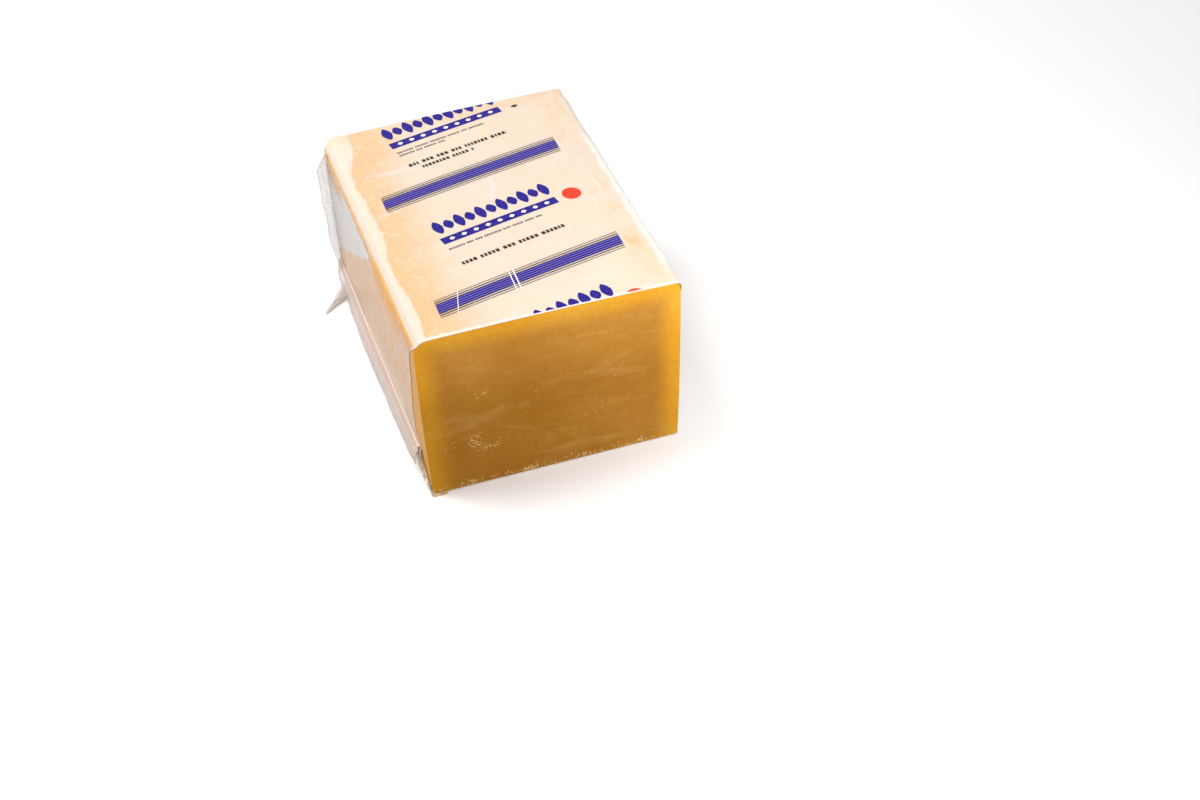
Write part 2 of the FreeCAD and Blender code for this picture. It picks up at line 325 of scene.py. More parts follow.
def cheese_material():
    """Waxy cut cheese, yellow near its rim by its own colour and a painted glow, browner inside,
    with painted shade low on the cut, smears and crystals.
    """
    material, tree, output = new_material("gruyere")
    place = object_place(tree)
    soft = noise_value(tree, place, 28.0, 4.0, 0.55)
    grain = noise_value(tree, place, 420.0, 3.0, 0.6)
    # near the rind the cheese is yellower by its own colour, and brighter by a painted glow of
    # light through the cheese
    rind_tone_and_glow = ramp(tree, soft, [(0.3, linear("F0A628")), (0.7, linear("F7B636"))])
    paste = ramp(tree, soft, [(0.3, linear("C5842E")), (0.7, linear("D3943E"))])
    colour = mix_colour(tree, attribute(tree, "inside"), rind_tone_and_glow, paste)
    colour = mix_colour(tree, attribute(tree, "bare"), colour, linear("D9A45E"))
    # painted shade: the cut is darker towards its bottom, most towards its left
    colour = mix_colour(tree, attribute(tree, "painted_shade"), colour, (0.72, 0.69, 0.52), "MULTIPLY")
    # pale crystals, in a few of the cells of a cell pattern
    cells = node(tree, "ShaderNodeTexVoronoi", Vector=place, Scale=230.0)
    middle = math_node(tree, "LESS_THAN", cells.outputs["Distance"], 0.10)
    pick = node(tree, "ShaderNodeSeparateColor", Color=cells.outputs["Color"])
    few = math_node(tree, "GREATER_THAN", pick.outputs[0], 0.88)
    crystal = math_node(tree, "MULTIPLY", math_node(tree, "MULTIPLY", middle, few), 0.30)
    colour = mix_colour(tree, crystal, colour, linear("F2CF8C"))
    # pale smears and fine scratches along the knife's way
    smear_place = object_place(tree, scale=(26.0, 26.0, 90.0), turn=(0, math.radians(14), 0))
    smear = node(tree, "ShaderNodeMapRange", From_Min=0.54, From_Max=0.80, To_Max=0.30,
                 Value=noise_value(tree, smear_place, 1.0, 4.0, 0.6, 0.8))
    colour = mix_colour(tree, smear.outputs["Result"], colour, linear("E6B56C"))
    fine = ramp(tree, grain, [(0.35, (0.90, 0.90, 0.88)), (0.65, (1.0, 1.0, 1.0))])
    colour = mix_colour(tree, 1.0, colour, fine, "MULTIPLY")
    scratch_place = object_place(tree, scale=(60.0, 60.0, 900.0), turn=(0, math.radians(11), 0))
    relief = bump(tree, noise_value(tree, scratch_place, 1.0, 2.0, 0.5), 0.00012, 0.35)
    relief = bump(tree, grain, 0.00010, 0.5, relief)
    rough = node(tree, "ShaderNodeMapRange", Value=soft, To_Min=0.45, To_Max=0.60)
    surface = principled(tree, colour, rough.outputs["Result"], 0.10, Normal=relief)
    plug(tree, output.inputs["Surface"], surface)
    return material


def crumb_material():
    material, tree, output = new_material("crumb")
    soft = noise_value(tree, object_place(tree), 500.0, 2.0, 0.5)
    colour = ramp(tree, soft, [(0.3, linear("D8A552")), (0.7, linear("EFCF92"))])
    plug(tree, output.inputs["Surface"], principled(tree, colour, 0.55, 0.2))
    return material


def film_material(name, cool="F2EEEA", cream="F8E6D1", golden="FAD296", relief_much=0.30):
    """Clear glossy film, milky by its veil, creamy by its warmth, shining by its gleam."""
    material, tree, output = new_material(name)
    place = object_place(tree)
    soft = noise_value(tree, place, 55.0, 4.0, 0.6)
    fine = noise_value(tree, place, 260.0, 1.0, 0.5)
    veil = attribute(tree, "veil")
    for mottle, span, low in ((soft, 0.16, 0.92), (fine, 0.12, 0.94)):
        share = math_node(tree, "MULTIPLY_ADD", mottle, span, low)
        veil = math_node(tree, "MULTIPLY", veil, share)
    veil = math_node(tree, "MINIMUM", veil, 0.97)
    relief = bump(tree, fine, 0.00010, relief_much)
    relief = bump(tree, soft, 0.0010, relief_much, relief)
    tint = ramp(tree, attribute(tree, "warm"),
                [(0.0, linear(cool)), (0.5, linear(cream)), (1.0, linear(golden))])
    milk = principled(tree, tint, 0.36, 0.3, Normal=relief)
    clear = node(tree, "ShaderNodeBsdfTransparent")
    body = node(tree, "ShaderNodeMixShader", _0=veil, _1=clear.outputs[0], _2=milk)
    shine = node(tree, "ShaderNodeBsdfGlossy", Roughness=0.18, Normal=relief)
    edge = node(tree, "ShaderNodeLayerWeight", Blend=0.2, Normal=relief)
    amount = math_node(tree, "MULTIPLY_ADD", edge.outputs["Fresnel"], 0.6, 0.01)
    amount = math_node(tree, "MULTIPLY", amount, attribute(tree, "gleam"))
    whole = node(tree, "ShaderNodeMixShader", _0=amount, _1=body.outputs[0],
                 _2=shine.outputs[0])
    plug(tree, output.inputs["Surface"], whole.outputs[0])
    return material


def ink_material(name, code):
    """Printing ink, a little lighter in fine specks where it is worn."""
    worn = 0.02
    material, tree, output = new_material(name)
    wear = noise_value(tree, object_place(tree), 900.0, 2.0, 0.6)
    full = linear(code)
    colour = ramp(tree, wear, [(0.25, [c + (1 - c) * worn for c in full]), (0.55, full)])
    plug(tree, output.inputs["Surface"], principled(tree, colour, 0.4, 0.15))
    return material


CHEESE = cheese_material()
CRUMB = crumb_material()
FILM = film_material("vacuum_film")
SEALED = film_material("sealed_film", "E6DAD8", "E2C6B6", "D8B084", 0.12)
PLEATED = film_material("pleated_film", "F6F4F2", "F0E4D8", "D8B084", 0.06)
# a lighter copy of the sealed film: painted light that offsets the shadow the flange casts on the
# torn ribbons
TORN_LIGHTENED = film_material("torn_film_lightened", "FCF6EE", "FAE6C6", "F4D096", 0.10)
INK = {key: ink_material(f"ink_{key}", code) for key, code in (
    ("navy", "0E063A"), ("blue", "1C0C7C"), ("violet", "6858CC"), ("grey", "5A4C58"),
    ("brown", "30221C"), ("red", "E03A20"), ("white", "F6EEE8"))}

# ------------------------------ cheese

KNIFE_LINE = 33.0  # height of a faint step that the knife left


def build_cheese():
    """The block, with faint dents, knife marks on its cut, and fields for its colours."""
    xs = spread(-HALF, HALF, LEFT_ROUND, LEFT_ROUND, 0.7, 1.5)
    ys = spread(0.0, LENGTH, 4.0, BACK_ROUND, 0.5, 2.2)
    zs = spread(0.0, HEIGHT, FOOT_ROUND, LEFT_ROUND, 0.4, 1.2)
    grid, quads = box_grid(xs, ys, zs, ("left", "right", "front", "back", "bottom", "top"))
    points = shape_block(grid, 0.0)
    normals = normals_of(points, quads)
    front = grid[:, 1] < 0.001
    sunk = 0.05 * waves(points, 26.0, 1) + 0.02 * waves(points, 5.0, 2)
    sunk[front] = 0.10 * waves(points[front], 18.0, 3) + 0.05 * waves(points[front], 3.0, 4)
    line = KNIFE_LINE + 0.05 * grid[:, 0] + 0.6 * waves(points, 30.0, 6)
    sunk[front] += 0.22 * soft_step(grid[front, 2] - line[front], -0.5, 0.5)
    # inside is 0 at the rim of the cut, which gets the rind colour with its painted glow
    edge = np.minimum.reduce([grid[:, 0] + HALF, HALF - grid[:, 0], HEIGHT - grid[:, 2]])
    edge = edge + 1.2 * waves(points, 22.0, 5)
    inside = soft_step(edge, 1.0, 15.0) * (grid[:, 1] < 2.0)
    sunk *= np.where(front, 1.0, np.clip(grid[:, 1] / 3.0, 0, 1))
    inward = np.where(front[:, None], [[0, 1, 0]], -normals)
    moved = points + inward * np.abs(sunk)[:, None]
    # painted shade on the cut, darker towards the bottom and most towards the left
    painted_shade = front * soft_step(HEIGHT - grid[:, 2] + 5 * waves(points, 30.0, 8), 14, 56) \
        * (1 - 0.45 * soft_step(grid[:, 0], 15, 60))
    bare = 0.85 * (1 - soft_step(grid[:, 1] + 2 * waves(points, 9.0, 7), 14, 24)) \
        * (grid[:, 1] > 0.3) * (1 - soft_step(grid[:, 2], HEIGHT - 9, HEIGHT - 3))
    return make_piece("cheese_block", to_frame(moved), quads, CHEESE,
                      {"inside": inside, "bare": bare, "painted_shade": painted_shade}, sharp=50)


# ------------------------------ film

# how far back from the cut the film's rim runs, as height and distance, on each side
RIM_LEFT = [(-1, 0), (0.2, 0), (1.5, 1), (3, 14), (5, 23), (9, 24), (13, 20), (18, 15.5),
            (21, 12.5), (22.5, 17.5), (24.5, 22.5), (40, 21.6), (58, 16.9), (70, 14.3),
            (85, 11.5), (91, 7), (96, 1.5), (99, 0), (110, 0)]
RIM_RIGHT = [(0, 0), (2, 4), (12, 7), (60, 3.5), (92, 2), (97, 0)]
NEAR = 0.01  # places this near a side of the plain box are on it
# pale marks on the top: x, y, half length, half width, turn in degrees, bow
PALE_MARKS = [(56, 94, 17, 0.9, 88, 0.020), (50, 78, 9, 3.4, 100, 0.0),
              (47, 128, 10, 2.6, 60, 0.0), (-36, 148, 16, 1.3, 8, 0.012),
              (-50, 112, 7, 2.0, 20, 0.0), (4, 112, 12, 1.6, 75, 0.01)]
SIDE_CREASES = [(22.0, 0.010), (26.5, -0.012), (33.0, 0.03)]  # height and tilt


def rim_back(grid):
    """How far back from the cut the film's rim runs, on the left and a little on the right."""
    x, z = grid[:, 0], grid[:, 2]
    left = np.interp(z, *zip(*RIM_LEFT)) * (x < -HALF + NEAR)
    right = np.interp(z, *zip(*RIM_RIGHT)) * (x > HALF - NEAR)
    return left + right


def pale_marks(x, y, points, mid):
    """Thin arcs and spotted patches on the top where the film has lifted."""
    pale = np.zeros(len(x))
    for mid_x, mid_y, long, wide, turn, bow in PALE_MARKS:
        c, s = math.cos(math.radians(turn)), math.sin(math.radians(turn))
        along, across = (x - mid_x) * c + (y - mid_y) * s, (y - mid_y) * c - (x - mid_x) * s
        across = across - bow * along ** 2 + 0.8 * mid
        spots = 1.0 if wide < 1.7 else soft_step(waves(points, 3.4, 20, 2), -0.05, 0.2)
        pale = np.maximum(pale, bell(across, wide) * bell(along, long, 4) * spots)
    return pale


def top_look(x, y, points, slow, mid, fine):
    """A loose pale band along the left edge, yellow stuck beside it and in patches."""
    from_left, from_right = x + HALF, HALF - x
    band = 7.5 + 5.5 * soft_step(y, 150, 185) + 1.4 * mid + 0.6 * fine + 1.2 * np.sin(y / 13.0)
    in_band = 1 - soft_step(from_left, band - 0.4, band + 0.4)
    past = from_left - band
    stuck = (1 - soft_step(past + 6 * mid, 6, 34)) * (1 - in_band)
    bubbles = soft_step(waves(points, 3.0, 16, 2), 0.30, 0.44) * soft_step(stuck, 0.1, 0.6)
    stuck_right = soft_step(mid + 0.6 * slow, -0.10, 0.30) \
        * (1 - soft_step(from_right, 8, 26)) * soft_step(from_right, 3, 6)
    near_corner = bell(x - 57, 5) * bell(y - 41 + 3 * fine, 9)
    dots_right = soft_step(fine, 0.25, 0.4) * (1 - soft_step(from_right, 14, 44))
    back_strip = soft_step(y, LENGTH - 13, LENGTH - 6)
    beside_band = (1 - in_band) * bell(past - 1.2, 1.0)
    yellow = np.maximum.reduce([0.80 * stuck, 0.28 * stuck_right, 0.30 * back_strip,
                                0.75 * near_corner, beside_band])
    yellow = yellow * (1 - 0.45 * bubbles) * (1 - 0.6 * dots_right)
    pale = pale_marks(x, y, points, mid)
    ridge_right = soft_step(4.8 + 0.8 * fine + 1.2 * mid - from_right, 0, 0.7) \
        * soft_step(y, 6, 20) * (1 - soft_step(y, 138, 152))
    white = np.maximum(in_band, ridge_right)
    veil = 0.86 + 0.03 * slow + 0.02 * mid - 0.10 * yellow
    veil = np.maximum(veil, 0.92 * white) + 0.03 * pale
    warm = 0.5 + 0.05 * slow + 0.50 * yellow * (1 - pale) - 0.05 * in_band \
        - 0.40 * ridge_right - 0.24 * pale
    bulge = np.sin(np.pi * np.clip(from_left / band, 0, 1)) ** 0.7
    bulge_right = np.sin(np.pi * np.clip(from_right / 4.4, 0.15, 1)) ** 0.6
    lift = 0.05 + 0.05 * np.maximum(mid, 0) + in_band * 0.6 * bulge \
        + 0.05 * bubbles + 0.07 * dots_right * soft_step(from_right, 2, 5) \
        + (0.9 + 0.4 * fine) * ridge_right * bulge_right
    return lift, veil, np.clip(warm, 0, 1), 0.7 - 0.4 * in_band


def side_looks(x, y, z, points, slow, mid):
    """The left side, with a hazy glare high towards the back, and the plainer right side."""
    down = HEIGHT - z
    border = 150 - 1.64 * (z - 53) + 5 * mid
    glare = soft_step(y, border - 3, border + 3)
    streaks = waves(np.stack([x, y * 0.10, z + 0.13 * y], -1), 7.0, 14, 2)
    swirl = waves(points + 2 * np.stack([mid, slow, mid], -1), 12.0, 15, 2)
    feather = waves(np.stack([x, y + 0.6 * z, (z - 0.6 * y) * 0.22], -1), 4.0, 17, 2) \
        * (1 - soft_step(y, 34, 60)) * soft_step(z, 22, 34)
    creases = np.zeros(len(x))
    for height, tilt in SIDE_CREASES:
        off = z - height - tilt * (y - 60) - 0.8 * mid
        creases = np.maximum(creases, bell(off, 0.8) * soft_step(y, 20, 40)
                             * (1 - soft_step(y, 110, 150)))
    lift = 0.1 + 0.08 * np.maximum(streaks, 0) ** 1.5 + 0.3 * np.maximum(mid, 0) \
        + 0.5 * creases + 0.15 * np.maximum(feather, 0)
    lift = lift * soft_step(down, 0, 14)

    # places on the left where the cheese shows through deep yellow
    line_width = 2.2 + 0.4 * (1 - soft_step(y, 60, 150))
    thin_line = bell(down - 5.0 - 0.5 * mid, line_width)
    second = bell(down - 9.6 - 0.8 * mid, 1.0) * (1 - soft_step(y, 55, 90))
    wedge = soft_step(down + mid, 6.5, 8.5) * (1 - soft_step(down + 3 * mid, 10, 24)) \
        * soft_step(y, 18, 34) * (1 - soft_step(y, 62, 92))
    high_patch = bell(down - 12 - 3 * mid, 6) * soft_step(y, 150, 160)
    orange = np.maximum.reduce([thin_line, 0.8 * wedge, 0.7 * second, 0.75 * high_patch])

    over_edge = 1 - soft_step(down, 1.6, 3.0)
    front_veil = 0.57 + 0.03 * streaks + 0.10 * swirl + 0.16 * np.maximum(feather, 0) \
        + 0.14 * (1 - soft_step(z, 20, 60))
    veil = glare * (0.84 + 0.05 * slow + 0.04 * streaks) + (1 - glare) * front_veil
    veil = (veil + 0.22 * creases) * (1 - 0.80 * orange)
    veil = veil * (1 - over_edge) + 0.92 * over_edge
    warm = (1 - glare) * np.clip(0.54 + 0.15 * mid + 0.15 * swirl, 0, 1) + 0.5 * orange
    warm = warm * (1 - over_edge) + 0.46 * over_edge
    gleam = 0.12 + 0.45 * glare * (1 - orange) * (1 - over_edge)
    right_veil = 0.50 + 0.18 * np.abs(streaks) + 0.08 * slow + 0.25 * creases
    return ((lift, veil, np.clip(warm, 0, 1), gleam),
            (lift, right_veil, 0.45 + 0.2 * mid, np.full(len(x), 0.5)))


def back_look(x, y, z, slow, mid):
    """The back, puckered towards its corners and yellow where it sticks."""
    ribs = np.maximum(0, waves(np.stack([x, y, z * 0.15], -1), 4.5, 18, 2)) \
        * (1 - soft_step(z, 26, 56))
    ribs += np.maximum(0, waves(np.stack([x * 0.15, y, z], -1), 4.5, 19, 2)) \
        * (1 - soft_step(HALF - np.abs(x), 10, 30))
    ribs *= soft_step(HEIGHT - z, 3, 12)
    stuck = soft_step(slow + 0.5 * mid, -0.6, 0.7)
    return (0.1 + 0.7 * ribs, 0.82 - 0.06 * stuck + 0.10 * ribs,
            0.50 + 0.22 * stuck - 0.25 * ribs, np.full(len(x), 0.8))


def film_fields(grid, points):
    """How far the film stands off the cheese, and its veil, warmth and gleam at each place.

    Warmth is 0 for grey haze, a half for cream and 1 where yellow cheese shows through.
    """
    x, y, z = grid.T
    slow, mid, fine = (waves(points, size, seed) for size, seed in ((40.0, 11), (13.0, 12),
                                                                    (4.6, 13)))
    on_top = z > HEIGHT - NEAR
    on = [on_top, (x < -HALF + NEAR) & ~on_top, (x > HALF - NEAR) & ~on_top]
    looks = [top_look(x, y, points, slow, mid, fine), *side_looks(x, y, z, points, slow, mid)]
    lift, veil, warm, gleam = (np.select(on, choices, back) for *choices, back in
                               zip(*looks, back_look(x, y, z, slow, mid)))
    # the rim along the cut is pulled loose and milky
    rim = 1 - soft_step(y + 0.7 * fine, np.where(on_top, 1.2, 0.5), np.where(on_top, 2.2, 1.2))
    veil = np.maximum(veil, 0.95 * rim)
    warm = warm * (1 - 0.6 * rim)
    lift = np.where(z < NEAR, 0.0, lift)
    # two layers of the shell veil what is behind them, so each gets its share
    return lift, {"veil": 1 - np.sqrt(1 - np.clip(veil, 0, 0.98)),
                  "warm": np.clip(warm, 0, 1), "gleam": gleam}


def build_film():
    """The pouch, a thin shell open at the cut; also its outer places and quads."""
    g = FILM_GROW
    xs = spread(-HALF - g, HALF + g, 14.0, 14.0, 0.8, 1.4)
    ys = spread(-RIM_OVERHANG, LENGTH + g, 24.0, 3.0, 0.6, 1.4)
    zs = spread(-g, HEIGHT + g, 30.0, 12.0, 0.8, 1.4)
    grid, quads = box_grid(xs, ys, zs, ("left", "right", "back", "bottom", "top"))
    inner = np.clip(grid / [1 + g / HALF, 1, 1], [-HALF, -9, 0], [HALF, LENGTH, HEIGHT])
    drawn = grid.copy()
    drawn[:, 1] += rim_back(inner) * np.clip(1 - (grid[:, 1] + RIM_OVERHANG) / 45, 0, 1)
    points = shape_block(drawn, g)
    normals = normals_of(points, quads)
    lift, fields = film_fields(inner, points)
    points = points + normals * (lift * (grid[:, 1] > 0.2))[:, None]
    film = make_piece("pouch_film", to_frame(points), quads, FILM, fields,
                      thick=0.12, sharp=70)
    return film, to_frame(points), quads


cheese = build_cheese()
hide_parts("cheese")
film, film_points, film_quads = build_film()
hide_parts("film")
film_tree = BVHTree.FromPolygons([Vector(p) for p in film_points], film_quads.tolist())

# ------------------------------ print

PRINT_PROUD = 0.06  # how far the ink stands off the film
ROW_STEP = (2.7, -94.6)  # one repeat of the print, in x and y
BEND = 1.2  # this near the back edge, rays come in at 45 degrees
RAY_START = 30.0  # how far off the film the rays start
# bands of lines: start and end along the print, and place across it
BANDS = [(-48, 59, 34.0), (-66, 42, -60.0), (-30, 77, 128.5)]
LINE_STEP = 1.7  # from line to line in a band
# the lines of a band: how many from the middle one, width, ink
BAND_LINES = [(4, 0.55, "grey"), (3, 0.74, "navy"), (2, 1.05, "navy"), (1, 1.05, "navy"),
              (0, 1.05, "navy")]
BAND_FILL = 0.68  # width of the violet between the middle lines


def film_place(x, along, proud=0.0):
    """A place on the film from x and the distance along the top from the block's middle.

    Past the back edge the distance runs down the back.
    """
    edge = LENGTH + FILM_GROW + SKEW * x / HALF
    top = HEIGHT + FILM_GROW + CROWN * (1 - (x / HALF) ** 2)
    over = along + LENGTH / 2 - edge
    if over <= -BEND:
        start = to_frame([x, along + LENGTH / 2, HEIGHT + RAY_START])
        heading = Vector((0, 0, -1))
    elif over < BEND:
        start = to_frame([x, edge + RAY_START + over / 2, top + RAY_START - over / 2])
        heading = Vector((0, -0.707, -0.707))
    else:
        start = to_frame([x, edge + RAY_START, top - over])
        heading = Vector((0, -1, 0))
    hit = film_tree.ray_cast(Vector(start), heading)[0]
    if hit is None:
        return None
    return np.array(hit - heading * (PRINT_PROUD + proud))


def turned(p, q, row=0):
    """From the print's own axes to x and the distance along."""
    c, s = math.cos(PRINT_TILT), math.sin(PRINT_TILT)
    return p * c - q * s + row * ROW_STEP[0], p * s + q * c + row * ROW_STEP[1]


class Ink:
    """Collects the patches of one ink, to make them into one piece."""

    LEAST_AREA = 0.002  # twice the area below which a quad is left out

    def __init__(self):
        self.points, self.faces = [], []

    def grid(self, rows):
        """Adds rows of places, joined by quads; a missing place leaves a hole."""
        index = []
        for row in rows:
            line = []
            for place in row:
                line.append(None if place is None else len(self.points))
                if place is not None:
                    self.points.append(place)
            index.append(line)
        for low, high in zip(index, index[1:]):
            for k in range(len(low) - 1):
                corners = [low[k], low[k + 1], high[k + 1], high[k]]
                if None in corners:
                    continue
                a, b, c, d = (self.points[corner] for corner in corners)
                if np.linalg.norm(np.cross(c - a, d - b)) > self.LEAST_AREA:
                    self.faces.append(corners)

    def strip(self, p0, p1, q0, q1, row=0, slant=0.0, step=1.4, proud=0.0):
        """A bar from p0 to p1 and q0 to q1 in the print's axes."""
        along = max(2, int((p1 - p0) / step) + 1)
        across = max(2, int((q1 - q0) / step) + 2)
        rows = []
        for q in np.linspace(q0, q1, across):
            rows.append([inside_top(*turned(p + slant * q, q, row), proud)
                         for p in np.linspace(p0, p1, along)])
        self.grid(rows)

    def blob(self, p, q, wide, high, power=2.0, row=0, turns=16, proud=0.0):
        """A rounded or pointed patch: power 2 is an ellipse and 1 a lozenge."""
        bent = row < 0  # the back row goes round the edge, so it's finer
        turns *= 3 if bent else 1
        rings = []
        for share in np.linspace(0.001, 1.0, 11 if bent else 3):
            ring = []
            for k in range(turns + 1):
                a = 2 * math.pi * k / turns
                c, s = math.cos(a), math.sin(a)
                size = share / (abs(c) ** power + abs(s) ** power) ** (1 / power)
                ring.append(inside_top(*turned(p + wide / 2 * size * c,
                                               q + high / 2 * size * s, row), proud))
            rings.append(ring)
        self.grid(rings[::-1])

    def finish(self, name, material):
        used, faces = np.unique(np.array(self.faces), return_inverse=True)
        return make_piece(name, np.array(self.points)[used], faces.reshape(-1, 4), material,
                          thick=0.03, smooth=False)


def inside_top(x, along, proud=0.0):
    """The film place, held at the cut where the print runs past it, or nothing far outside."""
    along += PRINT_SHIFT
    front = -LENGTH / 2 + SETBACK + 0.4
    if along < front - 14 or along > LENGTH / 2 + HEIGHT - 22 or abs(x) > HALF + 1:
        return None
    return film_place(x, max(along, front), proud)


def build_print():
    """Bands of lines, and rows of generic marks between them."""
    inks = {key: Ink() for key in INK}
    slant = math.tan(PRINT_TILT)
    for p0, p1, q in BANDS:
        start = p0 - slant * q
        end = start + p1 - p0
        for count, wide, ink in BAND_LINES:
            for side in ((1, -1) if count else (1,)):
                middle = q + side * count * LINE_STEP
                inks[ink].strip(start, end, middle - wide / 2, middle + wide / 2, slant=slant)
        for gap in (-1.5, -0.5, 0.5, 1.5):
            middle = q + gap * LINE_STEP
            inks["violet"].strip(start, end, middle - BAND_FILL / 2, middle + BAND_FILL / 2,
                                 slant=slant)
    # pale creases that cross the nearest band
    for p, wide, lean in ((-54.5, 0.45, 0.5), (-23.0, 0.55, 0.25), (-20.6, 0.7, 0.25)):
        start = p - lean * BANDS[1][2]
        inks["white"].strip(start, start + wide, -68.5, -51.5, slant=lean, proud=PRINT_PROUD)
    # rows: a line of lozenges where a name would be, a bar, and plain dashes below
    for row in (-1, 0, 1):
        for k in range(11):
            size = 11.8 if k % 2 == 0 else 8.2
            inks["blue"].blob(-33.6 + 6.4 * k, 0.2, 5.7, size, 1.5, -row)
        inks["blue"].strip(-37.4, 31.8, -14.6, -9, -row)
        for k in range(9):
            inks["white"].blob(-31.4 + 7.15 * k, -11.8, 3.2, 2.6, 1.2, -row, proud=PRINT_PROUD)
        if row < 1:
            inks["red"].blob(41.5, -11.0, 10.5, 10.5, 2.0, -row, turns=28)
        dash(inks["grey"], -37.4, 18.0, -19.6, 1.4, -row)
        dash(inks["brown"], -37.4, 23.5, -33.8, 2.5, -row)
    inks["brown"].blob(40.4, -13.4, 4.6, 2.6, 1.2, -1)
    dash(inks["grey"], -37.4, -8.0, -22.6, 1.4, -1)
    dash(inks["brown"], -31.5, 0.5, -38.6, 2.3, -1)
    for ink, patch in inks.items():
        if patch.faces:
            patch.finish(f"print_{ink}", INK[ink])


def dash(ink, p0, p1, q, high, row):
    """A row of short dashes in groups of uneven length."""
    p, left = p0, dice.randint(3, 8)
    while p < p1:
        run = min(high * dice.uniform(0.45, 0.8), p1 - p)
        ink.strip(p, p + run, q - high / 2, q + high / 2, row)
        left -= 1
        p += run + high * (0.28 if left else 0.95)
        left = left or dice.randint(3, 8)


build_print()

# ------------------------------ flange, ears and pleats

FLANGE_HEIGHT = 19.0  # where it leaves the sides
# from the side to its hanging edge, as distance out and height
FLANGE_PROFILE = [(-0.3, 0.8), (0.5, 0.5), (1.5, -0.3), (2.6, -1.4), (3.5, -3.0), (4.0, -5.0),
                  (4.3, -7.0), (4.55, -9.0), (4.8, -11.0), (5.0, -12.5)]
FLANGE_CREASES = {1: 0.8, 4: 0.35, 8: 0.5, 9: 1.0}  # how milky, by place in the profile
# ribbons at the torn end: start and end, as places back from the cut and up; width; how far
# they stand out; seed; how many steps long
RIBBONS = [((21.0, 17.5), (1.0, 1.4), 2.8, 0.8, 2.2, 34),
           ((17.0, 15.0), (8.0, 12.5), 4.6, 1.8, 5.1, 18),
           ((15.0, 19.0), (5.0, 8.0), 2.0, 2.6, 7.4, 18),
           ((12.0, 11.0), (0.5, 6.5), 0.7, 1.6, 9.8, 20),
           ((9.0, 6.0), (-2.0, 1.2), 0.8, 0.6, 12.1, 20),
           ((16.0, 9.0), (6.0, 2.2), 3.0, 1.2, 14.9, 20)]


def side_out(z):
    """How far a side stands out at height z from its place at the foot."""
    share = z / HEIGHT
    return LEAN * share + 4 * SWELL * share * (1 - share)


def flange_route():
    """Places along the foot of the left side, the back and the right side, with headings."""
    corner, start_left, start_right, step, turns = 4.0, 15.0, 9.0, 1.2, 8

    def bend(side, start):
        for k in range(turns + 1):
            a = start - math.pi / 2 * k / turns
            out, back = math.cos(a), math.sin(a)
            yield (side * (HALF - corner) + corner * out, LENGTH - corner + corner * back,
                   out, back)

    route = [(-HALF, y, -1.0, 0.0) for y in np.arange(start_left, LENGTH - corner, step)]
    route += bend(-1, math.pi)
    route += [(x, LENGTH, 0.0, 1.0) for x in np.arange(-HALF + corner, HALF - corner, step)][1:]
    route += bend(1, math.pi / 2)
    route += [(HALF, y, 1.0, 0.0) for y in np.arange(LENGTH - corner, start_right, -step)][1:]
    return route


def film_sheet(name, places, faces, material, veil, warm, gleam, thick):
    """A loose sheet of film, with one gleam all over and one warmth or one at each place."""
    size = len(veil)
    make_piece(name, to_frame(places), faces, material,
               {"veil": veil, "warm": np.broadcast_to(warm, size),
                "gleam": np.full(size, gleam)}, thick=thick)


def build_flange():
    """The sealed seam, a fin that goes round three sides and hangs to its tip."""
    route = flange_route()
    last = len(route) - 1
    points, veil, warm = [], [], []
    for k, (x, y, nx, ny) in enumerate(route):
        wander = noise.fractal(Vector((x / 23, y / 23, 7.7)), 1.0, 2.0, 3)
        flutter = noise.fractal(Vector((x / 7, y / 7, 3.1)), 1.0, 2.0, 2)
        share = min(max(y / LENGTH, 0.0), 1.0)
        reach = 0.62 + 0.38 * math.sin(math.pi * share) if abs(nx) > 0.5 else 0.70
        torn = max(0.0, 1 - min(k, last - k) / 11)
        for j, (out, up) in enumerate(FLANGE_PROFILE):
            loose = j / (len(FLANGE_PROFILE) - 1)
            crumple = torn * noise.noise(Vector((y / 2.3, j * 0.9, 4.4 + nx)))
            o = out * reach + loose * (0.5 * wander + 0.05 * flutter) + 0.8 * crumple * loose
            u = FLANGE_HEIGHT + up + 0.08 * loose * flutter + 1.8 * crumple + 3.0 * torn * loose
            o = max(o, 0.25) if j else 0.0
            o += FILM_GROW + side_out(u) * abs(nx)
            slope = SETBACK * u / HEIGHT * (1 - y / LENGTH)
            askew = SKEW * min(max(x / HALF, -1), 1) * y / LENGTH
            back = 3.5 * torn * noise.noise(Vector((j * 0.8, 1.7, nx)))
            points.append((x + nx * o, y + ny * o + slope + askew + back, u))
            crease = FLANGE_CREASES.get(j, 0.0)
            veil.append(min(0.95, 0.46 + 0.45 * crease + 0.06 * wander + 0.20 * torn))
            # at the root (j == 0) the film is painted golden and darker: a painted shadow under
            # the fold, with the cheese showing through
            warm.append(min(max((1.0 if j == 0 else 0.55) + 0.1 * wander - 0.8 * crease, 0), 1))
    faces = sheet_faces(len(route), len(FLANGE_PROFILE))
    film_sheet("pouch_flange", points, faces, SEALED, veil, warm, 0.35, 0.3)


